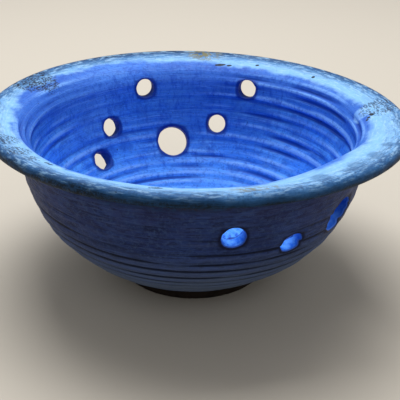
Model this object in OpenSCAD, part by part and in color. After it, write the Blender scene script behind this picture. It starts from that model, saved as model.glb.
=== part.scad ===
// Berry colander bowl: a hand-thrown stoneware bowl with a wide flared rim, drain holes cut
// square to the wall, a turned foot ring and three coats of glaze.
// The bowl stands on z = 0, and its axis of throwing is the z axis. All sizes are in millimetres.

/* [Bowl] */
// Diameter over the rim
rim_d = 180; // [172:1:196]
// Height from the table to the top of the rim
bowl_h = 76; // [70:1:90]
// How far the rim flares out past the wall below it
rim_w = 15.1; // [13.5:0.1:18]
// Thickness of the wall with its glaze
wall_t = 5.6; // [4.6:0.1:6.6]
// Thickness of the floor with its glaze
floor_t = 5; // [4:0.5:7]

/* [Rim] */
// Thickness of the rolled lip
lip_t = 5.2; // [4:0.1:6.4]
// How steeply the rim rises outwards, in degrees
rim_tilt = 15.6; // [8:0.2:20]
// Radius of the bend from the inside of the wall to the top of the rim
bend_r = 11; // [8:0.5:13]
// Radius of the hollow under the rim
under_r = 3; // [2:0.5:4]

/* [Foot] */
// Outer diameter of the foot ring where the wall springs from it
foot_d = 70; // [64:1:80]
// Height of the foot ring's outer face
foot_h = 5.4; // [4.8:0.1:8]
// Width of the foot ring
foot_w = 5.5; // [4.5:0.5:7]
// Depth of the turned hollow inside the foot ring
recess_h = 3.5; // [2:0.1:4.2]
// How far the foot ring's outer face draws in towards the table
foot_taper = 1.5; // [0:0.1:2]
// Bevel on the foot ring's two lower edges
foot_edge = 0.8; // [0.3:0.1:1]

/* [Drain holes] */
// Diameter of the small drain holes
small_hole_d = 9.2; // [7:0.1:10]
// Diameter of the large drain holes
large_hole_d = 15.2; // [12:0.1:17]
// Radius of the ring of holes in the floor
floor_ring_r = 18; // [14:0.5:21]
// Number of holes in that ring, round the middle one
floor_ring_holes = 6; // [4:1:6]

/* [Throwing rings] */
// Depth of the finger grooves inside the bowl
inner_ring_depth = 0.7; // [0.2:0.1:0.9]
// Depth of the fine grooves outside the bowl
outer_ring_depth = 0.4; // [0.2:0.1:0.6]
// Depth of the spiral's rings on the floor
floor_ring_depth = 0.3; // [0.1:0.1:0.5]

/* [Glaze] */
// Thickness of each coat of glaze
glaze_t = 0.5; // [0.3:0.1:0.7]

/* [Hidden] */

rim_r = rim_d / 2;
// Outer radius of the wall where it is straightest, just under the rim
neck_r = rim_r - rim_w;
foot_r = foot_d / 2;
foot_in_r = foot_r - foot_w;
lip_r = lip_t / 2;
floor_z = recess_h + floor_t;

// Directions along and square to the sloping top of the rim
rim_along = [cos(rim_tilt), sin(rim_tilt)];
rim_up = [-sin(rim_tilt), cos(rim_tilt)];

// Centre of the lip's round edge, as [radius, height]
lip_c = [rim_r - lip_r, bowl_h - lip_r];

// A circle of radius r that touches the rim's slope from below, centred at radius cr
function bend_centre(edge, r, cr) =
    let (p = edge - rim_up * r) [cr, p[1] + (cr - p[0]) * tan(rim_tilt)];
bend_c = bend_centre(lip_c + rim_up * lip_r, bend_r, neck_r - wall_t + bend_r);
under_c = bend_centre(lip_c - rim_up * lip_r, under_r, neck_r + under_r);

// The wall's outer curve, from the foot to the height where the inside starts to bend outwards
neck_z = bend_c[1];
foot_pull_shares = [0.430, 0.174];
neck_pull_shares = [0.081, 0.610];
wall_span = [neck_r - foot_r, neck_z - foot_h];
wall_knots = [
    [foot_r, foot_h],
    [foot_r + wall_span[0] * foot_pull_shares[0], foot_h + wall_span[1] * foot_pull_shares[1]],
    [neck_r - wall_span[0] * neck_pull_shares[0], neck_z - wall_span[1] * neck_pull_shares[1]],
    [neck_r, neck_z]];

function curve(k, u) =
    k[0] * pow(1 - u, 3) + k[1] * 3 * pow(1 - u, 2) * u
    + k[2] * 3 * (1 - u) * pow(u, 2) + k[3] * pow(u, 3);
function slope(k, u) =
    (k[1] - k[0]) * pow(1 - u, 2) + (k[2] - k[1]) * 2 * (1 - u) * u + (k[3] - k[2]) * pow(u, 2);
function unit(v) = v / norm(v);
// Square to the wall, pointing into the bowl
function inward(u) = let (s = unit(slope(wall_knots, u))) [-s[1], s[0]];
function wall_point(u, depth) = curve(wall_knots, u) + inward(u) * depth;
function arc(c, r, a0, a1, n) =
    [for (i = [0 : n]) let (a = a0 + (a1 - a0) * i / n) c + r * [cos(a), sin(a)]];

// Places of the throwing rings along the wall's curve, from the foot (0) to the neck (1)
inner_ring_shares = [0.25, 0.30, 0.345, 0.39, 0.45, 0.545, 0.605, 0.672, 0.755, 0.805, 0.86,
                     0.90, 0.937];
outer_ring_shares = [0.17, 0.30, 0.42, 0.505, 0.57, 0.645, 0.711, 0.785, 0.874, 0.91];
// Places of the floor's rings, from the middle (0) to where the wall rises (1)
floor_ring_shares = [0.16, 0.3, 0.43, 0.55, 0.66, 0.77, 0.88];
// Where the floor's curve runs into the wall's
floor_join_share = 0.12;

// One groove and the swell after it: steps along the way to the next groove, and how deep each is
swell_step_shares = [0, 0.25, 0.5, 0.75];
swell_depth_shares = [1, 0.5, 0, 0.5];
line_step_shares = [0, 0.2, 0.5, 0.8];
line_depth_shares = [1, 0.15, 0, 0.15];
function rings(places, steps, depths, start, end) = concat(
    [[start, 0], [(start + places[0]) / 2, 0]],
    [for (i = [0 : len(places) - 2]) for (j = [0 : len(steps) - 1])
        [places[i] + (places[i + 1] - places[i]) * steps[j], depths[j]]],
    [[places[len(places) - 1], depths[0]], [(places[len(places) - 1] + end) / 2, 0], [end, 0]]);

// The floor is flat in the middle and curves up into the wall
join_p = wall_point(floor_join_share, wall_t);
join_s = slope(wall_knots, floor_join_share);
floor_bend_r = join_p[0] - (join_p[1] - floor_z) * join_s[0] / join_s[1];
function floor_point(u, depth) =
    [0, floor_z] * pow(1 - u, 2) + [floor_bend_r, floor_z] * 2 * (1 - u) * u
    + join_p * pow(u, 2) - [0, depth];

// The glazed outline, from the middle of the floor up, over the rim and down to the foot
floor_line = [for (p = rings(floor_ring_shares, swell_step_shares, swell_depth_shares, 0, 1))
    floor_point(p[0], p[1] * floor_ring_depth)];
inner_line = [for (p = rings(inner_ring_shares, swell_step_shares, swell_depth_shares,
                             floor_join_share, 1))
    wall_point(p[0], wall_t - p[1] * inner_ring_depth)];
bend_line = arc(bend_c, bend_r, 180, 90 + rim_tilt, 8);
lip_line = arc(lip_c, lip_r, 90 + rim_tilt, rim_tilt - 90, 12);
under_line = arc(under_c, under_r, 90 + rim_tilt, 180, 4);
outer_up = [for (p = rings(outer_ring_shares, line_step_shares, line_depth_shares, 0, 1))
    wall_point(p[0], p[1] * outer_ring_depth)];
outer_line = [for (i = [len(outer_up) - 1 : -1 : 0]) outer_up[i]];

function after(line, n) = [for (i = [n : len(line) - 1]) line[i]];
outline = concat(floor_line, after(inner_line, 1), after(bend_line, 1), lip_line, under_line,
                 outer_line);

// Numbers of the points where one sub-part of the outline ends and the next begins
join_i = len(floor_line) - 1;
bend_i = join_i + len(inner_line) - 1;
flange_i = bend_i + len(bend_line) - 1;
glaze_i = bend_i + floor((len(bend_line) - 1) / 2);
under_i = flange_i + len(lip_line) + 1;
neck_i = under_i + len(under_line) - 1;
foot_i = len(outline) - 1;

// The clay's own surface lies a coat of glaze below the outline
function clay_point(i) =
    i == 0 ? outline[0] - [0, glaze_t]
    : i == foot_i ? outline[i] - [glaze_t, 0]
    : let (s = unit(outline[i + 1] - outline[i - 1])) outline[i] + [s[1], -s[0]] * glaze_t;
clay = [for (i = [0 : foot_i]) clay_point(i)];
function part_of(line, a, b) = a <= b ? [for (i = [a : b]) line[i]] : [for (i = [a : -1 : b]) line[i]];

// Drain holes in the wall: angle seen from above, place along the wall's curve, and 1 if large
wall_holes = [
    [67.8, 1.000, 0], [111.2, 1.000, 0],
    [80.2, 0.781, 0], [128.8, 0.813, 0],
    [100.5, 0.655, 1], [138.8, 0.613, 0],
    [-77.7, 0.874, 0], [-57.2, 0.776, 0], [-35.0, 0.816, 1]];
function hole_d(h) = h[2] == 1 ? large_hole_d : small_hole_d;
// How far a cut runs past the wall on each side
overrun = 2.5;
facets = 96;

module turned(points) {
    rotate_extrude($fn = facets) polygon(points);
}

// A round bar square to the wall, through one wall hole
module wall_bar(h, d) {
    s = inward(h[1]);
    p = wall_point(h[1], wall_t / 2);
    rotate([0, 0, h[0]]) translate([p[0], 0, p[1]]) rotate([0, atan2(s[0], s[1]), 0])
        cylinder(d = d, h = wall_t + 2 * overrun, center = true, $fn = facets);
}

// An upright round bar through one floor hole, the middle one being number 0
module floor_bar(i, d) {
    a = 360 * i / floor_ring_holes;
    r = i == 0 ? 0 : floor_ring_r;
    translate([r * cos(a), r * sin(a), recess_h - overrun])
        cylinder(d = d, h = floor_t + 2 * overrun, $fn = facets);
}

// All the drain holes, wider than their finished size by grow
module hole_bars(grow) {
    for (h = wall_holes) wall_bar(h, hole_d(h) + grow);
    for (i = [0 : floor_ring_holes]) floor_bar(i, small_hole_d + grow);
}

module drilled(points) {
    difference() {
        turned(points);
        hole_bars(2 * glaze_t);
    }
}

module foot_ring() {
    color("peru") turned([
        [foot_in_r + foot_edge, 0],
        [foot_r - foot_taper - foot_edge, 0],
        [foot_r - foot_taper, foot_edge],
        [foot_r, foot_h],
        [foot_in_r, foot_h],
        [foot_in_r, foot_edge]]);
}

module floor_slab() {
    color("burlywood") drilled(concat(part_of(clay, 0, join_i), [
        clay[foot_i],
        [foot_in_r, foot_h],
        [foot_in_r, recess_h],
        [0, recess_h]]));
}

module wall() {
    color("tan") drilled(concat(part_of(clay, join_i, flange_i), part_of(clay, under_i, foot_i)));
}

module rim() {
    color("wheat") turned(part_of(clay, flange_i, under_i));
}

module inside_glaze() {
    color("royalblue") drilled(concat(part_of(outline, 0, glaze_i), part_of(clay, glaze_i, 0)));
}

module outside_glaze() {
    color("darkslateblue")
        drilled(concat(part_of(outline, neck_i, foot_i), part_of(clay, foot_i, neck_i)));
}

module rim_glaze() {
    color("lightskyblue")
        drilled(concat(part_of(outline, glaze_i, neck_i), part_of(clay, neck_i, glaze_i)));
}

// The glaze that ran through each hole lines its bore
module hole_glaze() {
    color("cornflowerblue") difference() {
        intersection() {
            turned(concat(outline, [[foot_in_r, foot_h], [foot_in_r, recess_h], [0, recess_h]]));
            hole_bars(2 * glaze_t);
        }
        hole_bars(0);
    }
}

foot_ring();
floor_slab();  // floor
wall();
rim();
inside_glaze();
outside_glaze();
rim_glaze();
hole_glaze();
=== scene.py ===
import math

import bmesh
import bpy
import numpy as np
from mathutils import Matrix, Vector, noise


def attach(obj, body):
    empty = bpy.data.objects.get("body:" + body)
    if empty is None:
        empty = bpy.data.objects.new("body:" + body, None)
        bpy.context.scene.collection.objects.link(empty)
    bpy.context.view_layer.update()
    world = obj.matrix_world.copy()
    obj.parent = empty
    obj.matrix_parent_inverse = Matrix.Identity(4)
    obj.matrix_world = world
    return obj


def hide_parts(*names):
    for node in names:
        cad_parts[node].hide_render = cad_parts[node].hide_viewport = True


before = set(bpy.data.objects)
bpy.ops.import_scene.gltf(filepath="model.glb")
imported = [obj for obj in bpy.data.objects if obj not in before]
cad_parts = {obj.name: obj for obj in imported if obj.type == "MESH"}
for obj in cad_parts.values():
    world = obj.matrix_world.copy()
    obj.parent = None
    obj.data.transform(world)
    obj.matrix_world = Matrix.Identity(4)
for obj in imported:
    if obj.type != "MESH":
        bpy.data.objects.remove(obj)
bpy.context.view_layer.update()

# A thrown and glazed berry bowl with drain holes. Lengths are in millimetres and angles in
# degrees, and mm turns a length into metres
mm = 0.001

# The camera stands where the photograph was taken from
view = dict(spot=(3.03, -326.51, 189.54), forward=(0.0, 0.90031, -0.43526), roll=0.448, lens=72,
            clipStart=10)


def addCamera():
    spot = [v * mm for v in view["spot"]]
    bpy.ops.object.camera_add(location=spot)
    camera = bpy.context.object
    camera.name = "camera"
    camera.data.lens = view["lens"]
    camera.data.clip_start = view["clipStart"] * mm
    forward = Vector(view["forward"]).normalized()
    right = forward.cross(Vector((0, 0, 1))).normalized()
    up = right.cross(forward)
    roll = math.radians(view["roll"])
    sideways = right * math.cos(roll) + up * math.sin(roll)
    upwards = up * math.cos(roll) - right * math.sin(roll)
    turn = Matrix((sideways, upwards, -forward)).transposed().to_4x4()
    camera.matrix_world = Matrix.Translation(spot) @ turn
    bpy.context.scene.camera = camera


addCamera()
print("stage: camera")

# The thrown bowl's section and its drain holes. A wall hole is its bearing, its place from the
# wall's foot (0) to the neck (1), and whether it is a large one. The floor's holes are one in
# the middle and the ring of floorHoles
bowl = dict(
    rimRadius=90, height=76, neckRadius=74.9, wall=5.6, lip=2.6, rimTilt=15.6, bend=11, under=3,
    footRadius=35, footHeight=5.4, footWidth=5.5, recess=3.5, floorTop=8.5, floorJoin=0.12,
    footPull=(0.430, 0.174), neckPull=(0.081, 0.610), smallHole=4.6, largeHole=7.6,
    wallHoles=[(67.8, 1.000, 0), (111.2, 1.000, 0), (80.2, 0.781, 0), (128.8, 0.813, 0),
               (100.5, 0.655, 1), (138.8, 0.613, 0), (-77.7, 0.874, 0), (-57.2, 0.776, 0),
               (-35.0, 0.816, 1)],
    floorRing=18, floorHoles=(0, 60, 120, 180, -120, -60))

# How it is meshed. A hole's mouth eases from the square patch that is cut out for it to a
# circle, in steps of (how round it is, how much of the mouth's glaze and painted shade it
# has), and is then rounded off over mouthTurns
skin = dict(
    columns=240, seam=-150, step=0.8, lipStep=0.5, baseStep=1.4, arcPoints=60, wallPoints=300,
    floorPoints=200, pointGap=0.2, drainTurns=(90, 60, 30), mouthRound=0.8, mouthMargin=1.2,
    mouthEase=((0.38, 0.07), (0.72, 0.26), (1.0, 0.55)), mouthTurns=(25, 50, 72, 90),
    mouthFade=120, throughWall=9.0, halvings=34, weld=0.002)

# Throwing rings: how far each lies past the rim's inner bend, and how deep it is. On the
# wall's inside the depths belong to the bearings in ringBearings, one after another. On the
# floor a ring is a share of the way out to the wall. The glazes read the relief in steps of
# reliefStep, within reliefRange
rings = dict(
    ringBearings=(20, 60, 90, 125, 168, 270),
    inner=[(-56.5, 0.4, 0.4, 0.4, 0.4, 0.4, 0.4), (-52.3, 0.45, 0.5, 0.5, 0.5, 0.4, 0.4),
           (-47.3, 0.4, 0.75, 0.5, 0.75, 0.4, 0.4), (-41.2, 0.5, 0.75, 0.5, 0.6, 0.45, 0.4),
           (-35.7, 0.6, 0.65, 0.5, 0.4, 0.5, 0.4), (-31.4, 0.1, 0.15, 0.2, 0.3, 0.5, 0.3),
           (-27.0, 1.0, 0.9, 0.3, 0.4, 0.65, 0.4), (-20.6, 0.8, 1.0, 0.3, 0.45, 0.55, 0.4),
           (-16.8, 0.85, 0.25, 0.12, 0.12, 0.15, 0.3), (-12.0, 0.2, 0.65, 0.12, 0.15, 0.5, 0.3),
           (-6.0, 1.05, 0.6, 0.18, 0.12, 0.45, 0.35), (1.3, 1.25, 0.55, 0.12, 0.15, 0.5, 0.35),
           (6.0, 0.95, 0.75, 0.1, 0.1, 0.5, 0.25), (9.4, 0.25, 0.1, 0.02, 0.1, 0.9, 0.1)],
    outer=[(57.0, 0.16), (59.6, 0.2), (62.4, 0.34), (66.2, 0.12), (70.4, 0.5), (76.4, 0.62),
           (81.2, 0.68), (86.8, 0.78), (91.6, 0.62), (96.0, 0.42), (101.2, 0.34), (106.2, 0.32),
           (111.2, 0.26), (116.0, 0.2)],
    outerEnd=(120.5, 117), outerLean=2.6, outerWide=0.7,
    floor=[0.12, 0.22, 0.32, 0.42, 0.52, 0.62, 0.71, 0.80, 0.88, 0.95], floorDepth=0.36,
    floorWide=0.8, grooveWide=1.15, crestWide=1.4, crestPast=2.7, crestHigh=0.6,
    highest=0.7, sunk=0.1, reliefStep=0.5, reliefRange=(-1.8, 1.2))

# How unevenly the hand drew them: slow sways of their place, and faster changes of their depth
hand = dict(
    swayScale=0.021, swaySeed=3.0, innerSway=0.9, floorSway=0.5, outerSway=0.6, surfaceSway=0.16,
    depthScale=0.12, depthSeed=11.0, aroundStretch=0.35, upStretch=2.5, depthMiddle=0.75,
    depthSwing=1.5, depthRange=(0.15, 1.4), drainMargin=(2, 5), swayMargin=(3, 14))

# How far the finished bowl is out of round. The knock is where the rim's inner bend was
# pushed up a little
warp = dict(
    oval=2.9, ovalSmall=0.19, liftSide=0.43, liftBack=0.13, saddle=0.39, rimFrom=(72, 88),
    rimAbove=(58, 68), knockAt=-42, knockWide=17, knockLift=0.2, knockRoll=2.3,
    knockFrom=(69, 75), knockTo=(77, 87), knockAbove=(64, 70), wobble=0.12, wobbleRadius=40,
    wobbleUp=0.2, wobbleScale=0.06, wobbleSeed=7.0)


def smooth(a, b, x):
    t = np.clip((np.asarray(x, float) - a) / (b - a), 0, 1)
    return t * t * (3 - 2 * t)


def bell(x, middle, wide):
    away = (np.asarray(x, float) - middle + 180) % 360 - 180
    return np.exp(-(away / wide) ** 2)


# The section as in the CAD model: a point is its distance from the axis and its height
tilt = math.radians(bowl["rimTilt"])
offRim = np.array([-math.sin(tilt), math.cos(tilt)])
lipMiddle = np.array([bowl["rimRadius"] - bowl["lip"], bowl["height"] - bowl["lip"]])


def bendMiddle(edge, radius, across):
    p = edge - offRim * radius
    return np.array([across, p[1] + (across - p[0]) * math.tan(tilt)])


bendAt = bendMiddle(lipMiddle + offRim * bowl["lip"], bowl["bend"],
                    bowl["neckRadius"] - bowl["wall"] + bowl["bend"])
underAt = bendMiddle(lipMiddle - offRim * bowl["lip"], bowl["under"],
                     bowl["neckRadius"] + bowl["under"])
rise = np.array([bowl["neckRadius"] - bowl["footRadius"], bendAt[1] - bowl["footHeight"]])
foot = np.array([bowl["footRadius"], bowl["footHeight"]])
knots = [foot, foot + rise * bowl["footPull"], foot + rise * (1 - np.array(bowl["neckPull"])),
         foot + rise]


def wallOutside(u):
    u = np.atleast_1d(u)[:, None]
    return (knots[0] * (1 - u) ** 3 + knots[1] * 3 * (1 - u) ** 2 * u
            + knots[2] * 3 * (1 - u) * u ** 2 + knots[3] * u ** 3)


def wallSlope(u):
    u = np.atleast_1d(u)[:, None]
    s = ((knots[1] - knots[0]) * (1 - u) ** 2 + (knots[2] - knots[1]) * 2 * (1 - u) * u
         + (knots[3] - knots[2]) * u ** 2)
    return s / np.linalg.norm(s, axis=1)[:, None]


def wallInside(u, depth):
    s = wallSlope(u)
    return wallOutside(u) + np.c_[-s[:, 1], s[:, 0]] * depth


def arc(middle, radius, start, end):
    a = np.radians(np.linspace(start, end, skin["arcPoints"]))
    return np.c_[middle[0] + radius * np.cos(a), middle[1] + radius * np.sin(a)]


def evenly(line, step):
    length = np.r_[0, np.cumsum(np.linalg.norm(np.diff(line, axis=0), axis=1))]
    at = np.linspace(0, length[-1], max(2, int(round(length[-1] / step)) + 1))
    return np.c_[np.interp(at, length, line[:, 0]), np.interp(at, length, line[:, 1])]


joinPoint = wallInside(bowl["floorJoin"], bowl["wall"])[0]
joinSlope = wallSlope(bowl["floorJoin"])[0]
floorBend = joinPoint[0] - (joinPoint[1] - bowl["floorTop"]) * joinSlope[0] / joinSlope[1]


def floorAt(f):
    f = np.atleast_1d(f)[:, None]
    return (np.array([0, bowl["floorTop"]]) * (1 - f) ** 2
            + np.array([floorBend, bowl["floorTop"]]) * 2 * (1 - f) * f + joinPoint * f ** 2)


# Rows of the mesh run from inside the middle drain hole up the bowl's inside, over the lip and
# down the outside to the foot, then in under the floor and back into the hole
drain = bowl["smallHole"]
drainEdge = drain + skin["mouthRound"]
floorMiddle = (bowl["floorTop"] + bowl["recess"]) / 2


def softEdge(level, side):
    turn = np.radians(skin["drainTurns"])
    soft = skin["mouthRound"]
    return np.c_[drain + soft * (1 - np.sin(turn)), level - side * soft * (1 - np.cos(turn))]


floorLine = floorAt(np.linspace(0, 1, skin["floorPoints"]))
floorLine = np.vstack([[drainEdge, bowl["floorTop"]],
                       floorLine[floorLine[:, 0] > drainEdge + skin["pointGap"]]])
wallUp = np.linspace(bowl["floorJoin"], 1, skin["wallPoints"])
innerLine = evenly(np.vstack([floorLine, wallInside(wallUp, bowl["wall"])[1:],
                              arc(bendAt, bowl["bend"], 180, 90 + bowl["rimTilt"])[1:],
                              [lipMiddle + offRim * bowl["lip"]]]), skin["step"])
lipLine = evenly(arc(lipMiddle, bowl["lip"], 90 + bowl["rimTilt"], bowl["rimTilt"] - 90),
                 skin["lipStep"])
outerLine = evenly(np.vstack([[lipMiddle - offRim * bowl["lip"]],
                              arc(underAt, bowl["under"], 90 + bowl["rimTilt"], 180),
                              wallOutside(np.linspace(1, 0, skin["wallPoints"]))]), skin["step"])
ringIn = bowl["footRadius"] - bowl["footWidth"]
baseLine = np.vstack([evenly(np.array([foot, [ringIn, foot[1]]]), skin["baseStep"])[1:],
                      [[ringIn, (foot[1] + bowl["recess"]) / 2]],
                      evenly(np.array([[ringIn, bowl["recess"]], [drainEdge, bowl["recess"]]]),
                             skin["step"])])
topMouth, baseMouth = softEdge(bowl["floorTop"], 1), softEdge(bowl["recess"], -1)
rows = np.vstack([[[drain, floorMiddle]], topMouth, innerLine, lipLine[1:], outerLine[1:],
                  baseLine, baseMouth[::-1], [[drain, floorMiddle]]])
firstRow = 1 + len(topMouth)
lipRow = len(topMouth) + len(innerLine) + len(lipLine) // 2
outerRow = lipRow + len(lipLine) // 2
footRow = len(topMouth) + len(innerLine) + len(lipLine) - 1 + len(outerLine) - 1
baseRow = footRow + len(baseLine)
rowNumber = np.arange(len(rows))
rowLength = np.r_[0, np.cumsum(np.linalg.norm(np.diff(rows, axis=0), axis=1))]
grad = np.gradient(rows, axis=0)
rowNormal = np.c_[-grad[:, 1], grad[:, 0]] / np.linalg.norm(grad, axis=1)[:, None]


def rowBetween(key, first, last):
    # Distance plus height only grows, or only falls, along each of these stretches
    span = np.arange(first, last)
    steady = rows[span].sum(axis=1)
    if steady[0] > steady[-1]:
        span, steady = span[::-1], steady[::-1]
    return np.interp(key, steady, span.astype(float))


def rowOf(r, z, outside):
    key = np.asarray(r) + np.asarray(z)
    if not outside:
        return rowBetween(key, firstRow, lipRow)
    return np.where(np.asarray(r) > ringIn, rowBetween(key, outerRow, footRow + 1),
                    rowBetween(key, footRow + 1, baseRow + 1))


def atRow(row, values):
    return np.interp(row, rowNumber, values)


# How far each row is past the start of the rim's inner bend, over the rim and down the outside
bendRow = rowOf(bendAt[0] - bowl["bend"], bendAt[1], False)
rimward = rowLength - atRow(bendRow, rowLength)
floorRings = atRow(rowOf(*floorAt(np.array(rings["floor"])).T, False), rimward)


def wander(x, y, z, scale, seed):
    return np.array([noise.noise((a * scale + seed, b * scale, c * scale))
                     for a, b, c in zip(np.ravel(x), np.ravel(y), np.ravel(z))])


def oneRing(off, wide=1.0):
    groove = np.exp(-(off / (rings["grooveWide"] * wide)) ** 2)
    crest = np.exp(-((off - rings["crestPast"] * wide) / (rings["crestWide"] * wide)) ** 2)
    return rings["crestHigh"] * crest - groove


def ringRelief(row, bearing):
    past, r, z = atRow(row, rimward), atRow(row, rows[:, 0]), atRow(row, rows[:, 1])
    a = np.radians(bearing)
    x, y = r * np.cos(a), r * np.sin(a)
    inside = row < lipRow
    sway = wander(x, y, z, hand["swayScale"], hand["swaySeed"])
    uneven = wander(x * hand["aroundStretch"], y * hand["aroundStretch"], z * hand["upStretch"],
                    hand["depthScale"], hand["depthSeed"])
    bump = np.zeros(len(past))
    for place, *depths in rings["inner"]:
        depth = np.interp(bearing, rings["ringBearings"], depths, period=360)
        bump += np.where(inside, depth * oneRing(past - place - hand["innerSway"] * sway), 0)
    for place in floorRings:
        ring = oneRing(past - place - hand["floorSway"] * sway, rings["floorWide"])
        bump += np.where(inside, rings["floorDepth"] * ring, 0)
    lean = rings["outerLean"] * np.cos(a)
    for place, depth in rings["outer"]:
        ring = oneRing(past - place - lean - hand["outerSway"] * sway, rings["outerWide"])
        bump += np.where(inside, 0, depth * ring)
    depth = np.clip(hand["depthMiddle"] + hand["depthSwing"] * uneven, *hand["depthRange"])
    drainFrom, drainTo = hand["drainMargin"]
    bump *= np.where(row > footRow, 0, depth) * smooth(drain + drainFrom, drain + drainTo, r)
    bump *= np.where(inside, 1, smooth(*rings["outerEnd"], past))
    swayFrom, swayTo = hand["swayMargin"]
    slow = hand["surfaceSway"] * sway * smooth(drain + swayFrom, drain + swayTo, r) * (row <= footRow)
    height = np.minimum(bump, rings["highest"]) + slow - rings["sunk"] * np.abs(bump)
    return height, np.clip(bump / rings["reliefStep"], *rings["reliefRange"])


def bent(x, y, z):
    r, bearing = np.hypot(x, y), np.degrees(np.arctan2(y, x))
    a = np.radians(bearing)
    share = smooth(*warp["rimFrom"], r) * smooth(*warp["rimAbove"], z)
    out = -warp["ovalSmall"] * np.cos(2 * a) - warp["oval"] * np.sin(2 * a)
    up = (warp["liftSide"] * np.cos(a) + warp["liftBack"] * np.sin(a)
          - warp["saddle"] * (np.cos(2 * a) + np.sin(2 * a)))
    knock = bell(bearing, warp["knockAt"], warp["knockWide"])
    roll = (smooth(*warp["knockFrom"], r) * (1 - smooth(*warp["knockTo"], r))
            * smooth(*warp["knockAbove"], z))
    up = up * share + knock * (warp["knockLift"] * share + warp["knockRoll"] * roll)
    wobble = warp["wobble"] * share * wander(
        np.cos(a) * warp["wobbleRadius"], np.sin(a) * warp["wobbleRadius"], z * warp["wobbleUp"],
        warp["wobbleScale"], warp["wobbleSeed"])
    scale = (r + out * share + wobble) / np.maximum(r, 1e-6)
    return x * scale, y * scale, z + up + wobble / 2


def surface(row, bearing):
    row, bearing = np.asarray(row, float), np.asarray(bearing, float)
    height, relief = ringRelief(row, bearing)
    a = np.radians(bearing)
    r = atRow(row, rows[:, 0]) + atRow(row, rowNormal[:, 0]) * height
    z = atRow(row, rows[:, 1]) + atRow(row, rowNormal[:, 1]) * height
    return np.c_[r * np.cos(a), r * np.sin(a), z], relief


# Every drain hole: its middle in the clay, its axis into the bowl, and two directions across it
def holeFrame(bearing, middle, into, up, radius):
    a = math.radians(bearing)

    def turned(v):
        return np.array([v[0] * math.cos(a), v[0] * math.sin(a), v[1]])

    return dict(bearing=bearing, middle=turned(middle), into=turned(into), up=turned(up),
                side=np.array([-math.sin(a), math.cos(a), 0.0]), radius=radius)


def holeFrames():
    frames = []
    for bearing, u, large in bowl["wallHoles"]:
        middle, slope = wallInside(u, bowl["wall"] / 2)[0], wallSlope(u)[0]
        radius = bowl["largeHole"] if large else bowl["smallHole"]
        frames.append(holeFrame(bearing, middle, (-slope[1], slope[0]), slope, radius))
    for bearing in bowl["floorHoles"]:
        frames.append(holeFrame(bearing, (bowl["floorRing"], floorMiddle), (0, 1), (1, 0),
                                bowl["smallHole"]))
    return frames


def ontoSurface(points, direction, outside):
    # From inside the clay, each point's way out is halved until it ends on the surface
    span = rows[outerRow:baseRow + 1][::-1] if outside else rows[firstRow:lipRow]
    span = span[np.argsort(span[:, 0], kind="stable")]
    low, high = np.zeros(len(points)), np.full(len(points), skin["throughWall"])
    for _ in range(skin["halvings"]):
        middle = (low + high) / 2
        p = points + direction * middle[:, None]
        level = np.interp(np.hypot(p[:, 0], p[:, 1]), span[:, 0], span[:, 1])
        inClay = p[:, 2] > level if outside else p[:, 2] < level
        low, high = np.where(inClay, middle, low), np.where(inClay, high, middle)
    p = points + direction * low[:, None]
    return p, rowOf(np.hypot(p[:, 0], p[:, 1]), p[:, 2], outside)


# The bowl's material slots, in the order in which its materials are added
slots = dict(inside=0, outside=1, hole=2, clay=3)


def slotAt(row):
    if row < firstRow or row > baseRow:
        return slots["hole"]
    if row < lipRow:
        return slots["inside"]
    return slots["outside"] if row < footRow else slots["clay"]


def mouthPatches():
    # The patch of the mesh that each mouth takes: its hole, whether it is on the outside, and
    # its first and last column and row
    columns, patches = skin["columns"], []
    for hole in holeFrames():
        reach = hole["radius"] + skin["mouthRound"] + skin["mouthMargin"]
        inPoint, inRow = ontoSurface(hole["middle"][None], hole["into"], False)
        outPoint, outRow = ontoSurface(hole["middle"][None], -hole["into"], True)
        nearest = min(np.hypot(*inPoint[0, :2]), np.hypot(*outPoint[0, :2]))
        halfAround = int(math.ceil(math.degrees(math.asin(reach / nearest)) / 360 * columns))
        halfUp = int(round(reach / skin["step"]))
        column = int(round(((skin["seam"] - hole["bearing"]) % 360) / 360 * columns))
        for outside, row in ((False, int(round(inRow[0]))), (True, int(round(outRow[0])))):
            patches.append((hole, outside, (column - halfAround, column + halfAround),
                            (row - halfUp, row + halfUp)))
    return patches


def takeOut(bm, grid, patches):
    # Takes the patches' faces out, and gives the ring of corners left round each, with the
    # angle on the mouth's circle that each corner goes to
    doomed, mouths = set(), []
    for hole, outside, (c0, c1), (r0, r1) in patches:
        for c in range(c0, c1):
            for r in range(r0, r1):
                doomed.update(set(grid[(c, r)].link_faces) & set(grid[(c + 1, r + 1)].link_faces))
        edge = ([(c, r0) for c in range(c0, c1)] + [(c1, r) for r in range(r0, r1)]
                + [(c, r1) for c in range(c1, c0, -1)] + [(c0, r) for r in range(r1, r0, -1)])
        upwards = -1 if outside else 1
        turn = [math.atan2(upwards * (r - (r0 + r1) / 2) / (r1 - r0),
                           ((c0 + c1) / 2 - c) / (c1 - c0)) for c, r in edge]
        mouths.append((hole, outside, [grid[e] for e in edge], np.array(turn)))
    bmesh.ops.delete(bm, geom=list(doomed), context="FACES_ONLY")
    loose = [v for v in bm.verts if not v.link_faces]
    bmesh.ops.delete(bm, geom=loose, context="VERTS")
    bmesh.ops.delete(bm, geom=[e for e in bm.edges if not e.link_faces], context="EDGES")
    return mouths


def joinRings(bm, before, after, slot):
    for k in range(len(before)):
        k2 = (k + 1) % len(before)
        bm.faces.new((before[k], before[k2], after[k2], after[k])).material_index = slot


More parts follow.
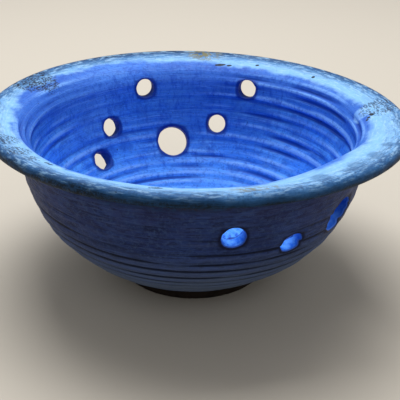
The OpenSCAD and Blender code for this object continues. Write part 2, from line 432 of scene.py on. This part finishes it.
def mouthSteps(across, circle, radius):
    # From the patch's edge in to the hole's circle, then over its edge and into the bore: where
    # each step lies across the hole, how far it sinks in, and how much of the mouth's glaze and
    # painted shade it has
    soft = skin["mouthRound"]
    steps = [(across * (1 - share) + circle * (radius + soft) * share, 0, mouthness)
             for share, mouthness in skin["mouthEase"]]
    edgeMouthness = skin["mouthEase"][-1][1]
    for deg in skin["mouthTurns"]:
        a = math.radians(deg)
        steps.append((circle * (radius + soft * (1 - math.sin(a))), soft * (1 - math.cos(a)),
                      min(1.0, edgeMouthness + deg / skin["mouthFade"])))
    return steps


def roundMouth(bm, layers, hole, outside, ring, turn):
    middle, side, up = hole["middle"], hole["side"], hole["up"]
    way = -hole["into"] if outside else hole["into"]
    corners = np.array([v.co for v in ring]) - middle
    across = np.c_[corners @ side, corners @ up]
    circle = np.c_[np.cos(turn), np.sin(turn)]
    slot = slots["outside"] if outside else slots["inside"]
    if outside and middle[2] < bowl["floorTop"]:
        slot = slots["clay"]
    previous = ring
    for flatSpot, sink, mouthness in mouthSteps(across, circle, hole["radius"]):
        start = middle + flatSpot[:, :1] * side + flatSpot[:, 1:] * up
        onBase, row = ontoSurface(start, way, outside)
        place, relief = surface(row, np.degrees(np.arctan2(onBase[:, 1], onBase[:, 0])))
        past = atRow(row, rimward)
        fresh = []
        for k in range(len(ring)):
            v = bm.verts.new(Vector(place[k] - way * sink))
            v[layers["relief"]] = relief[k] * (1 - mouthness)
            v[layers["rimward"]] = past[k]
            v[layers["mouth"]] = mouthness
            fresh.append(v)
        joinRings(bm, previous, fresh, slot)
        previous = fresh
    bore = []
    inBore = middle + hole["radius"] * (circle[:, :1] * side + circle[:, 1:] * up)
    for corner, spot in zip(previous, inBore):
        v = bm.verts.new(Vector(spot))
        v[layers["rimward"]] = corner[layers["rimward"]]
        v[layers["mouth"]] = 1.0
        bore.append(v)
    joinRings(bm, previous, bore, slots["hole"])


def makeBowl():
    # A flat grid is laid round the section, its mouths are cut and rounded, and it is bent
    columns, lastRow = skin["columns"], len(rows) - 1
    bpy.ops.object.select_all(action="DESELECT")
    bpy.ops.mesh.primitive_grid_add(x_subdivisions=columns, y_subdivisions=lastRow, size=2)
    piece = bpy.context.object
    piece.name = "glazed_bowl"
    flat = np.array([v.co[:2] for v in piece.data.vertices])
    column = np.rint((flat[:, 0] + 1) / 2 * columns).astype(int)
    row = np.rint((flat[:, 1] + 1) / 2 * lastRow).astype(int)
    place, relief = surface(row, skin["seam"] - 360.0 * column / columns)

    bm = bmesh.new()
    bm.from_mesh(piece.data)
    layers = {name: bm.verts.layers.float.new(name) for name in ("relief", "rimward", "mouth")}
    grid = {}
    for k, v in enumerate(bm.verts):
        v.co = Vector(place[k])
        v[layers["relief"]] = relief[k]
        v[layers["rimward"]] = rimward[row[k]]
        grid[(column[k], row[k])] = v
    for face in bm.faces:
        face.material_index = slotAt(np.mean([row[v.index] for v in face.verts]))
    for mouth in takeOut(bm, grid, mouthPatches()):
        roundMouth(bm, layers, *mouth)

    spots = np.array([v.co for v in bm.verts])
    spots = np.c_[bent(spots[:, 0], spots[:, 1], spots[:, 2])] * mm
    for k, v in enumerate(bm.verts):
        v.co = Vector(spots[k])
    bm.to_mesh(piece.data)
    bm.free()
    bpy.ops.object.mode_set(mode="EDIT")
    bpy.ops.mesh.select_all(action="SELECT")
    bpy.ops.mesh.remove_doubles(threshold=skin["weld"] * mm)
    bpy.ops.mesh.normals_make_consistent(inside=False)
    bpy.ops.object.mode_set(mode="OBJECT")
    bpy.ops.object.shade_smooth()
    return piece


glazedBowl = makeBowl()
print("stage: bowl", len(glazedBowl.data.polygons), "faces")


def paint(r, g, b):
    # A colour as a picture shows it, 0 to 255, in Blender's linear values
    def linear(v):
        v = v / 255
        return v / 12.92 if v <= 0.04045 else ((v + 0.055) / 1.055) ** 2.4

    return (linear(r), linear(g), linear(b), 1.0)


class Glaze:
    # A material's nodes. Its patterns are in millimetres, and x, y and place say where a point
    # of the bowl is
    def __init__(self, name):
        self.material = bpy.data.materials.new(name)
        self.material.use_nodes = True
        self.tree = self.material.node_tree
        self.tree.nodes.clear()
        self.shader = self.node("BsdfPrincipled")
        self.node("OutputMaterial", {0: self.shader.outputs[0]})
        place = self.node("TexCoord").outputs["Object"]
        size = self.node("Mapping", {"Vector": place, "Scale": (1 / mm, 1 / mm, 1 / mm)})
        self.place = size.outputs[0]
        split = self.node("SeparateXYZ", {0: self.place})
        self.x, self.y = split.outputs[0], split.outputs[1]

    def put(self, socket, value):
        if isinstance(value, bpy.types.NodeSocket):
            self.tree.links.new(value, socket)
        else:
            socket.default_value = value

    def node(self, kind, inputs=None, **settings):
        n = self.tree.nodes.new("ShaderNode" + kind)
        for name, value in settings.items():
            setattr(n, name, value)
        for key, value in (inputs or {}).items():
            self.put(n.inputs[key], value)
        return n

    def math(self, kind, a, b=0.0, clamp=False):
        return self.node("Math", {0: a, 1: b}, operation=kind, use_clamp=clamp).outputs[0]

    def times(self, a, b):
        return self.math("MULTIPLY", a, b)

    def plus(self, a, b):
        return self.math("ADD", a, b)

    def minus(self, a, b):
        return self.math("SUBTRACT", a, b)

    def larger(self, a, b):
        return self.math("MAXIMUM", a, b)

    def away(self, value, level):
        return self.math("ABSOLUTE", self.minus(value, level))

    def stray(self, pattern, size):
        # A pattern round 0, so that it moves an edge to both sides
        return self.times(self.minus(pattern, 0.5), size)

    def vector(self, kind, a, b=(0, 0, 0)):
        return self.node("VectorMath", {0: a, 1: b}, operation=kind).outputs

    def held(self, name):
        # A value that the mesh holds at its corners
        return self.node("Attribute", attribute_name=name).outputs["Fac"]

    def ramp(self, value, low, high, bottom=0.0, top=1.0):
        inputs = {"Value": value, "From Min": low, "From Max": high, "To Min": bottom, "To Max": top}
        return self.node("MapRange", inputs, interpolation_type="SMOOTHSTEP").outputs[0]

    def mix(self, share, a, b):
        return self.node("Mix", {0: share, 6: a, 7: b}, data_type="RGBA").outputs[2]

    def lay(self, colour, shade, share):
        return self.mix(share, colour, paint(*shade))

    def coat(self, colour, shade, pattern, between, most=1.0, within=()):
        # Lays a shade over where a pattern passes between two levels, and within other shares
        share = self.ramp(pattern, *between, 0.0, most)
        for part in within:
            share = self.times(share, part)
        return self.lay(colour, shade, share)

    def noise(self, scale, detail=3.0, rough=0.55, shift=0.0, stretch=None, twist=0.0, place=None):
        if place is None:
            place = self.place
        if stretch or shift:
            moved = {"Vector": place, "Scale": stretch or (1, 1, 1),
                     "Location": (shift, shift * 0.7, shift * 0.3)}
            place = self.node("Mapping", moved).outputs[0]
        inputs = {"Vector": place, "Scale": scale, "Detail": detail, "Roughness": rough,
                  "Distortion": twist}
        return self.node("TexNoise", inputs).outputs["Fac"]

    def streaks(self, along, across, shift=0.0, detail=3.0):
        # Noise that is drawn out along the throwing rings
        drawn = {0: self.times(self.x, along), 1: self.times(self.y, along),
                 2: self.times(self.held("rimward"), across)}
        place = self.node("CombineXYZ", drawn).outputs[0]
        return self.noise(1.0, detail=detail, rough=0.6, shift=shift, place=place)

    def threads(self, along, across, level, thin, shift, most):
        # Thin long lines: where a drawn-out noise passes one level
        value = self.streaks(along, across, shift=shift, detail=2.0)
        return self.ramp(self.away(value, level), thin, 0.0, 0.0, most)

    def combed(self, across, down, shift, detail):
        # Streaks that run down over the rim, square to its edge
        outwards = self.vector("NORMALIZE", self.vector("MULTIPLY", self.place, (1, 1, 0))[0])[0]
        reach = bowl["rimRadius"] * across
        around = self.vector("MULTIPLY", outwards, (reach, reach, 0))[0]
        lengthwise = self.node("CombineXYZ", {2: self.times(self.held("rimward"), down)}).outputs[0]
        place = self.vector("ADD", around, lengthwise)[0]
        return self.noise(1.0, detail=detail, rough=0.65, shift=shift, place=place)

    def dots(self, scale, size, shift, soft=0.08):
        moved = self.node("Mapping", {"Vector": self.place, "Location": (shift, shift, shift)})
        cells = self.node("TexVoronoi", {"Vector": moved.outputs[0], "Scale": scale})
        return self.ramp(cells.outputs["Distance"], size + soft, size - soft)

    def near(self, spot, radius, fade):
        away = self.vector("DISTANCE", self.place, spot)["Value"]
        return self.ramp(away, radius - fade, radius + fade, 1.0, 0.0)

    def blot(self, spot, size):
        # A soft spot with its own length each way
        off = self.vector("SUBTRACT", self.place, spot)[0]
        away = self.vector("LENGTH", self.vector("DIVIDE", off, size)[0])["Value"]
        return self.ramp(away, 1.5, 0.5)

    def bands(self, value, stops, start, length):
        # One shade after another along a value
        share = self.math("DIVIDE", self.minus(value, start), length, clamp=True)
        n = self.node("ValToRGB", {0: share})
        elements = n.color_ramp.elements
        places = [(at - start) / length for at, shade in stops]
        elements[0].position, elements[-1].position = places[0], places[-1]
        for at in places[1:-1]:
            elements.new(at)
        for element, (at, shade) in zip(elements, stops):
            element.color = paint(*shade)
        return n.outputs[0]

    def finishWith(self, colour, roughness, bumps, strength, depth, shine=0.12):
        self.put(self.shader.inputs["Specular IOR Level"], shine)
        self.put(self.shader.inputs["Base Color"], colour)
        self.put(self.shader.inputs["Roughness"], roughness)
        n = self.node("Bump", {"Strength": strength, "Distance": depth * mm, "Height": bumps})
        self.put(self.shader.inputs["Normal"], n.outputs[0])


# The rim's pale glaze: its shades by distance past the start of the inner bend, going dark over
# the lip and under it, which is partly the glaze's dark edge and partly painted shade, then what
# lies on it. An ochre spot or a stain is its place, its radius and how far it fades
rimCoat = dict(
    stops=[(9, (112, 164, 234)), (15, (136, 192, 244)), (20.5, (132, 186, 240)),
           (23.2, (98, 152, 208)), (25.4, (52, 102, 158)), (27.0, (14, 56, 96)),
           (28.4, (4, 28, 48)), (30.5, (5, 17, 27)), (34, (5, 11, 16)), (43, (11, 14, 18)),
           (46.5, (46, 40, 26)), (49, (30, 40, 82))],
    start=-10, length=70, backSlip=(0.042, 0.018), frontLeftSlip=1.8, sway=4.5, fineSway=1.8,
    mottle=(54, 92, 138), comb=(46, 92, 150), fleck=(38, 84, 136), grain=(24, 66, 110),
    pale=(164, 208, 246), ochre=(118, 112, 66), stain=(46, 92, 142),
    ochreSpots=[((1.5, 84.5, 75.5), 5, 3), ((8.0, 83.5, 75.2), 5, 3),
                ((19.2, -80.5, 75.0), 5, 3), ((27.0, -80.0, 75.4), 3, 2)],
    stainSpots=[((68.0, -53.5, 75.8), 4, 4), ((60.5, -64.5, 76.4), 5, 4),
                ((75.5, -41.0, 75.5), 3, 3), ((45.0, -73.0, 76.4), 4, 4)])


def rimColour(g):
    past = g.held("rimward")
    most, least = rimCoat["backSlip"]
    slip = g.larger(g.times(g.y, most), g.times(g.y, least))
    frontLeft = g.times(g.ramp(g.x, 35, -40, 0, rimCoat["frontLeftSlip"]), g.ramp(g.y, -15, -60))
    sway = g.plus(g.stray(g.noise(0.06, detail=3, rough=0.6), rimCoat["sway"]),
                  g.stray(g.noise(0.5, detail=4, rough=0.65, shift=5), rimCoat["fineSway"]))
    at = g.plus(g.plus(g.plus(past, slip), frontLeft), sway)
    # The stops go near black over the lip and under it: partly the glaze's dark edge, partly painted
    # shade
    colour = g.bands(at, rimCoat["stops"], rimCoat["start"], rimCoat["length"])

    # The coat breaks up towards the lip
    onTop = g.ramp(past, 24, 29, 1, 0)
    colour = g.coat(colour, rimCoat["mottle"], g.streaks(0.08, 0.3, shift=9, detail=6), (0.47, 0.60),
                    within=[onTop, g.ramp(past, 16, 25, 0.08, 0.72)])
    colour = g.coat(colour, rimCoat["comb"], g.combed(1.0, 0.4, shift=2, detail=4), (0.52, 0.66), 0.15)
    colour = g.coat(colour, rimCoat["fleck"], g.streaks(0.16, 0.85, shift=16, detail=6), (0.48, 0.60),
                    within=[g.ramp(past, 16, 25, 0.06, 0.72), g.ramp(past, 30, 25, 0.3, 1)])
    colour = g.coat(colour, rimCoat["grain"], g.noise(0.8, detail=5, rough=0.85, shift=56),
                    (0.505, 0.57), within=[g.ramp(past, 15, 25, 0.04, 0.62)])
    colour = g.coat(colour, rimCoat["pale"], g.streaks(0.2, 0.9, shift=14, detail=6), (0.49, 0.63),
                    0.55, within=[onTop])

    ragged = g.ramp(g.noise(0.4, detail=4, rough=0.65, shift=20), 0.44, 0.56, 0, 0.8)
    for spot in rimCoat["ochreSpots"]:
        colour = g.lay(colour, rimCoat["ochre"], g.times(g.near(*spot), ragged))
    cloud = g.noise(0.16, detail=5, rough=0.7, shift=52)
    for spot in rimCoat["stainSpots"]:
        colour = g.coat(colour, rimCoat["stain"], g.plus(g.near(*spot), cloud), (0.85, 1.3), 0.5)
    return colour


# Dark pinholes, and longer scars where the glaze crawled. A cluster of pinholes is its place,
# its radius, how far it fades and how dense it is, and a scar is its place and its size each way
pits = dict(
    ground=(44, 92, 142), pinhole=(2, 14, 40), scar=(12, 16, 18), fleck=(16, 26, 52),
    clusters=[((-77.0, 39.0, 74.5), 12, 7, 1.0), ((-74.5, -34.6, 74.1), 6, 5, 0.85),
              ((-66.5, -46.0, 74.0), 5, 4, 0.85), ((-59.0, -53.0, 73.8), 3, 3, 0.8),
              ((-48.0, -55.2, 71.8), 3, 2, 0.9), ((-43.1, -59.3, 71.9), 3, 2, 0.9),
              ((-12.4, -78.3, 74.1), 2.5, 2, 0.9), ((80.5, 6.5, 74.0), 8, 5, 0.8)],
    scars=[((12.6, 74.6, 73.4), (2.9, 1.1, 1.1)), ((17.3, 73.6, 73.2), (1.5, 0.7, 0.7)),
           ((31.7, 71.2, 74.3), (1.1, 0.9, 0.9)), ((75.2, -1.8, 72.4), (0.9, 1.0, 0.8)),
           ((76.8, 0.4, 73.0), (1.0, 1.5, 0.8)), ((74.2, -3.4, 71.9), (0.7, 0.9, 0.7)),
           ((-45.5, -57.3, 71.9), (1.5, 0.9, 1.0)), ((58.0, 52.0, 73.4), (1.0, 1.0, 1.0)),
           ((-30.0, 70.0, 74.6), (1.6, 0.9, 0.9)), ((-53.4, -55.6, 73.2), (1.1, 0.8, 0.7)),
           ((-51.8, -57.2, 73.2), (1.1, 0.7, 0.7)), ((-48.0, -55.2, 71.8), (1.2, 0.7, 0.7)),
           ((-43.8, -58.7, 71.9), (1.1, 0.7, 0.7)), ((-42.4, -60.0, 71.9), (1.0, 0.7, 0.7)),
           ((-12.4, -78.3, 74.1), (1.0, 0.6, 0.7))])


def addPits(g, colour):
    strokes = g.ramp(g.streaks(0.36, 1.25, shift=60), 0.54, 0.585)
    holes = g.larger(g.times(g.dots(0.9, 0.42, shift=3.0), 0.85), strokes)
    ragged = g.noise(0.18, detail=3, rough=0.6, shift=33)
    clusters = 0.0
    for *spot, share in pits["clusters"]:
        one = g.ramp(g.plus(g.near(*spot), ragged), 0.75, 1.15, 0, share)
        clusters = g.larger(clusters, one)
    colour = g.coat(colour, pits["ground"], clusters, (0.75, 1.0), 0.35)
    colour = g.lay(colour, pits["pinhole"], g.times(g.times(holes, clusters), 0.97))
    ragged = g.noise(0.7, detail=3, rough=0.6, shift=50)
    for spot in pits["scars"]:
        colour = g.coat(colour, pits["scar"], g.plus(g.blot(*spot), ragged), (0.85, 1.15), 0.95)
    rare = g.noise(0.5, detail=2, rough=0.6, shift=44)
    return g.coat(colour, pits["fleck"], rare, (0.72, 0.76), 0.8)


# The blue coat inside. The rim's pale glaze starts at paleFrom past the bend, further out at
# the far left, and comes down over the bend in one tongue. The runs are on the floor
blueCoat = dict(
    deep=(56, 134, 246), light=(84, 164, 254), streak=(26, 88, 190), fine=(100, 166, 248),
    shade=(26, 82, 182), milky=(98, 160, 236), low=(92, 168, 254), farWallShade=(28, 88, 190),
    behindShade=(24, 66, 146), leftBack=(92, 144, 220), upper=(64, 112, 214), sides=(30, 84, 184),
    run=(16, 66, 178), groove=(14, 62, 158), crest=(124, 178, 252), dust=(20, 72, 170),
    darkThread=(14, 56, 156), paleThread=(120, 176, 252), brush=(18, 72, 178),
    mouth=(8, 38, 128), paleFrom=(10.6, 14.4), paleSway=15.0, paleFineSway=2.6, farLeftSlip=4.4,
    tongue=((74.0, 6.0, 71.4), 5.0, 0.9),
    runs=[((14.5, 6.9, 9.0), (0.8, 2.3, 1.5)), ((17.2, 6.9, 9.1), (0.7, 2.6, 1.5)),
          ((20.5, 7.3, 9.4), (0.9, 2.8, 1.5)), ((23.2, 8.9, 9.9), (0.8, 2.2, 1.5)),
          ((-11.0, 22.0, 9.4), (0.9, 2.6, 1.5)), ((3.0, 25.0, 9.6), (0.8, 3.0, 1.5)),
          ((-20.0, -12.0, 9.4), (1.0, 2.4, 1.5)), ((25.0, -9.0, 9.9), (0.8, 2.6, 1.5))])


def insideGlaze():
    g = Glaze("inside_glaze_blue")
    past, relief = g.held("rimward"), g.held("relief")
    cloud = g.noise(0.045, detail=4, rough=0.6, shift=1)
    colour = g.mix(g.ramp(cloud, 0.36, 0.66), paint(*blueCoat["deep"]), paint(*blueCoat["light"]))

    # Streaks and clouds of the coat
    broken = g.ramp(g.noise(0.06, detail=4, rough=0.65, shift=31), 0.40, 0.58, 0.35, 1.0)
    colour = g.coat(colour, blueCoat["streak"], g.streaks(0.05, 1.3), (0.46, 0.64), 0.55, [broken])
    colour = g.coat(colour, blueCoat["fine"], g.streaks(0.12, 3.2, shift=6), (0.50, 0.68), 0.35)
    clouds = g.noise(0.08, detail=5, rough=0.68, shift=41, twist=0.6)
    colour = g.coat(colour, blueCoat["shade"], clouds, (0.49, 0.64), 0.55)
    clouds = g.noise(0.07, detail=5, rough=0.7, shift=43, twist=0.8)
    colour = g.coat(colour, blueCoat["milky"], clouds, (0.50, 0.64), 0.3)

    # Painted light low in the bowl and painted shade on the far wall, then other tones by height on
    # the wall and by place in the bowl
    farSide = g.ramp(g.y, 30, 60)
    # Painted light: the lower wall and the floor made lighter
    colour = g.coat(colour, blueCoat["low"], past, (-20, -60), 0.5)
    # Painted shade on the upper far wall
    colour = g.coat(colour, blueCoat["farWallShade"], g.y, (5, 55), 0.38,
                    [g.ramp(past, -45, -10), g.ramp(past, 8, -2)])
    # Painted shade on the middle of the far wall
    colour = g.coat(colour, blueCoat["behindShade"], g.away(g.x, 10), (48, 22), 0.35,
                    [farSide, g.ramp(past, -42, -14)])
    colour = g.coat(colour, blueCoat["leftBack"], g.x, (-28, -50), 0.3,
                    [g.ramp(g.y, 8, 40), g.ramp(past, -30, -8)])
    colour = g.coat(colour, blueCoat["upper"], past, (-5, 7), 0.6)
    colour = g.coat(colour, blueCoat["sides"], g.away(g.x, 0), (42, 66), 0.5,
                    [g.ramp(past, -14, 2)])
    ragged = g.ramp(g.noise(0.9, detail=3, rough=0.7, shift=54), 0.3, 0.5, 0, 0.75)
    for spot in blueCoat["runs"]:
        colour = g.lay(colour, blueCoat["run"], g.times(g.blot(*spot), ragged))

    # Thick in the grooves and thin on their crests, with painted shade in the grooves and a painted
    # highlight on the crests
    colour = g.coat(colour, blueCoat["groove"], relief, (-0.15, -1.4), 0.85)
    colour = g.coat(colour, blueCoat["crest"], relief, (0.05, 0.65), 0.75)
    dust = g.noise(0.55, detail=4, rough=0.8, shift=27)
    colour = g.coat(colour, blueCoat["dust"], dust, (0.49, 0.62), 0.42)
    colour = g.lay(colour, blueCoat["darkThread"],
                   g.threads(0.014, 0.5, level=0.5, thin=0.02, shift=35, most=0.3))
    colour = g.lay(colour, blueCoat["paleThread"],
                   g.threads(0.014, 0.5, level=0.57, thin=0.02, shift=37, most=0.25))
    brush = g.noise(0.35, detail=4, rough=0.7, stretch=(1, 1, 0.3), shift=3)
    colour = g.coat(colour, blueCoat["brush"], brush, (0.50, 0.64), 0.5, [farSide])

    sway = g.plus(g.stray(g.noise(0.05, detail=4, rough=0.55, shift=8), blueCoat["paleSway"]),
                  g.stray(g.noise(0.3, detail=3, rough=0.55, shift=12), blueCoat["paleFineSway"]))
    farLeft = g.times(g.ramp(g.x, 30, -30, 0, blueCoat["farLeftSlip"]), g.ramp(g.y, -12, 26))
    edge = g.minus(g.plus(past, sway), farLeft)
    pale = g.larger(g.ramp(edge, *blueCoat["paleFrom"]), g.near(*blueCoat["tongue"]))
    colour = addPits(g, g.mix(pale, colour, rimColour(g)))
    # Darker round each mouth: partly pooled glaze, partly painted shade at the hole's edge
    colour = g.coat(colour, blueCoat["mouth"], g.held("mouth"), (0.04, 0.45), 0.85)
    bumps = g.plus(g.streaks(0.08, 2.6, shift=17),
                   g.times(g.noise(1.3, detail=4, rough=0.6, shift=21), 0.6))
    roughness = g.ramp(g.noise(0.25, detail=3, rough=0.6, shift=25), 0.3, 0.7, 0.36, 0.56)
    g.finishWith(colour, roughness, bumps, 0.35, 0.5)
    return g.material


# The slate coat outside, from the neck, where the rim's glaze ends at rimTo, to the foot
slateCoat = dict(
    deep=(32, 50, 102), light=(44, 66, 124), streak=(16, 26, 62), grain=(50, 68, 122),
    darkThread=(14, 18, 44), paleThread=(76, 92, 138), worn=(18, 27, 60), dust=(62, 84, 128),
    brown=(42, 46, 92), low=(100, 116, 142), groove=(7, 14, 36), crest=(66, 82, 130),
    mouth=(9, 14, 44), bore=(60, 106, 206), rimTo=(50.5, 47.5), rimSway=4.0)


def outsideGlaze():
    g = Glaze("outside_glaze_slate")
    past, relief, mouth = g.held("rimward"), g.held("relief"), g.held("mouth")
    cloud = g.noise(0.05, detail=4, rough=0.6, shift=2)
    colour = g.mix(g.ramp(cloud, 0.36, 0.66), paint(*slateCoat["deep"]), paint(*slateCoat["light"]))

    # Streaks, threads and grain of the coat
    colour = g.coat(colour, slateCoat["streak"], g.streaks(0.05, 1.5, shift=4), (0.47, 0.7), 0.7)
    grain = g.noise(0.9, detail=5, rough=0.75, shift=5)
    colour = g.coat(colour, slateCoat["grain"], grain, (0.5, 0.75), 0.55)
    colour = g.lay(colour, slateCoat["darkThread"],
                   g.threads(0.02, 0.7, level=0.5, thin=0.022, shift=35, most=0.55))
    colour = g.lay(colour, slateCoat["darkThread"],
                   g.threads(0.018, 0.62, level=0.44, thin=0.02, shift=39, most=0.5))
    colour = g.lay(colour, slateCoat["paleThread"],
                   g.threads(0.018, 0.62, level=0.56, thin=0.022, shift=37, most=0.4))
    worn = g.streaks(0.22, 0.9, shift=61, detail=6)
    colour = g.coat(colour, slateCoat["worn"], worn, (0.50, 0.60), 0.6)
    dust = g.noise(0.6, detail=6, rough=0.85, shift=63)
    colour = g.coat(colour, slateCoat["dust"], dust, (0.51, 0.60), 0.55)

    # Browner under the rim, painted light towards the foot, darker in the grooves and lighter on the
    # crests, partly from pooled and thin glaze and partly painted shade and painted highlight
    brown = g.noise(0.12, detail=4, rough=0.6, shift=7)
    colour = g.coat(colour, slateCoat["brown"], brown, (0.38, 0.62), 0.35, [g.ramp(past, 78, 50)])
    # Painted light: paler towards the foot
    colour = g.coat(colour, slateCoat["low"], past, (66, 102), 0.8)
    # Grooves darker: partly pooled glaze, partly painted shade
    colour = g.coat(colour, slateCoat["groove"], relief, (-0.08, -0.8), 0.9)
    # Crests lighter: partly thin glaze, partly painted highlight
    colour = g.coat(colour, slateCoat["crest"], relief, (0.04, 0.6), 0.5)

    sway = g.stray(g.noise(0.15, detail=4, rough=0.6, shift=8), slateCoat["rimSway"])
    onRim = g.ramp(g.plus(past, sway), *slateCoat["rimTo"])
    colour = addPits(g, g.mix(onRim, colour, rimColour(g)))
    # Darker round each mouth: partly pooled glaze, partly painted shade at the hole's edge
    colour = g.coat(colour, slateCoat["mouth"], mouth, (0.05, 0.5), 0.85)
    colour = g.coat(colour, slateCoat["bore"], mouth, (0.8, 1.0), 0.8)
    bumps = g.plus(g.streaks(0.08, 2.8, shift=18),
                   g.times(g.noise(1.3, detail=5, rough=0.65, shift=22), 0.8))
    roughness = g.ramp(g.noise(0.25, detail=3, rough=0.6, shift=26), 0.3, 0.7, 0.45, 0.62)
    g.finishWith(colour, roughness, bumps, 0.4, 0.5)
    return g.material


# The glaze in the holes' bores, with painted shade at the back and at the right
boreCoat = dict(deep=(34, 100, 214), light=(84, 152, 244), backShade=(3, 44, 140), right=(8, 42, 128))


def holeGlaze():
    g = Glaze("hole_glaze_blue")
    cloud = g.noise(0.3, detail=4, rough=0.6, shift=1)
    colour = g.mix(g.ramp(cloud, 0.35, 0.65), paint(*boreCoat["deep"]), paint(*boreCoat["light"]))
    # Painted shade on the bores at the back
    colour = g.coat(colour, boreCoat["backShade"], g.y, (25, 45), 0.9)
    # Painted shade on the bores at the right
    colour = g.coat(colour, boreCoat["right"], g.x, (42, 50), 0.75)
    roughness = g.ramp(g.noise(0.5, detail=3, rough=0.6, shift=25), 0.3, 0.7, 0.34, 0.52)
    g.finishWith(colour, roughness, g.noise(1.2, detail=4, rough=0.6, shift=21), 0.25, 0.4, 0.02)
    return g.material


# The unglazed clay of the foot and the underside, painted near black: painted shadow, for the foot
# lies in shade under the bowl
footClayPaintedShadow = dict(deep=(20, 16, 14), light=(34, 27, 23), grit=(26, 20, 17))


def bareClayPaintedShadow():
    g = Glaze("bare_clay")
    cloud = g.noise(0.1, detail=4, rough=0.6)
    colour = g.mix(g.ramp(cloud, 0.35, 0.65), paint(*footClayPaintedShadow["deep"]), paint(*footClayPaintedShadow["light"]))
    grit = g.noise(2.2, detail=4, rough=0.7, shift=4)
    colour = g.coat(colour, footClayPaintedShadow["grit"], grit, (0.58, 0.7), 0.7)
    roughness = g.ramp(g.noise(0.6, detail=3, rough=0.6), 0.3, 0.7, 0.75, 0.95)
    g.finishWith(colour, roughness, g.noise(2.0, detail=5, rough=0.7, shift=9), 0.5, 0.4)
    return g.material


clay = bareClayPaintedShadow()
for material in (insideGlaze(), outsideGlaze(), holeGlaze(), clay):
    glazedBowl.data.materials.append(material)
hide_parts("floor", "wall", "rim", "inside_glaze", "outside_glaze", "rim_glaze",
            "hole_glaze")
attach(glazedBowl, "root")
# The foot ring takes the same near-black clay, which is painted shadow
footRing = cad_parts["foot_ring"]
footRing.data.materials.clear()
footRing.data.materials.append(clay)
print("stage: glazes")

# A plain pale floor, two soft lamps and a plain sky. Here places and sizes are in metres, and
# a lamp's power is in watts
studio = dict(
    floor=(196, 189, 177), floorWide=60, floorRoughness=0.8, backdrop=(214, 207, 196), sky=0.38,
    aim=(0, 0, 0.04),
    lamps=dict(lamp_over=dict(spot=(-0.08, 0.3, 1.1), size=0.8, power=14.5),
               lamp_front=dict(spot=(0.5, -0.9, 0.7), size=0.9, power=0.9)))


def addFloor():
    bpy.ops.object.select_all(action="DESELECT")
    bpy.ops.mesh.primitive_plane_add(size=studio["floorWide"], location=(0, 0, 0))
    floor = bpy.context.object
    floor.name = "studio_floor"
    material = bpy.data.materials.new("studio_floor")
    material.use_nodes = True
    shader = material.node_tree.nodes["Principled BSDF"]
    shader.inputs["Base Color"].default_value = paint(*studio["floor"])
    shader.inputs["Roughness"].default_value = studio["floorRoughness"]
    floor.data.materials.append(material)


def addLamp(name, spot, size, power):
    bpy.ops.object.light_add(type="AREA", location=spot)
    lamp = bpy.context.object
    lamp.name = name
    lamp.data.size = size
    lamp.data.energy = power
    lamp.rotation_euler = (Vector(studio["aim"]) - Vector(spot)).to_track_quat("-Z", "Y").to_euler()


def addSky():
    # White light from all round, but the camera, gloss and glass see a pale backdrop
    world = bpy.context.scene.world or bpy.data.worlds.new("studio")
    bpy.context.scene.world = world
    world.use_nodes = True
    nodes, links = world.node_tree.nodes, world.node_tree.links
    sky = nodes["Background"]
    sky.inputs[0].default_value = (1, 1, 1, 1)
    sky.inputs[1].default_value = studio["sky"]
    backdrop = nodes.new("ShaderNodeBackground")
    backdrop.inputs[0].default_value = paint(*studio["backdrop"])
    path = nodes.new("ShaderNodeLightPath")
    seen = path.outputs["Is Camera Ray"]
    for kind in ("Is Glossy Ray", "Is Transmission Ray"):
        wider = nodes.new("ShaderNodeMath")
        wider.operation = "MAXIMUM"
        links.new(seen, wider.inputs[0])
        links.new(path.outputs[kind], wider.inputs[1])
        seen = wider.outputs[0]
    both = nodes.new("ShaderNodeMixShader")
    for k, part in enumerate((seen, sky.outputs[0], backdrop.outputs[0])):
        links.new(part, both.inputs[k])
    links.new(both.outputs[0], nodes["World Output"].inputs[0])


addFloor()
for name, lamp in studio["lamps"].items():
    addLamp(name, **lamp)
addSky()
bpy.context.scene.view_settings.view_transform = "Standard"
print("stage: studio")
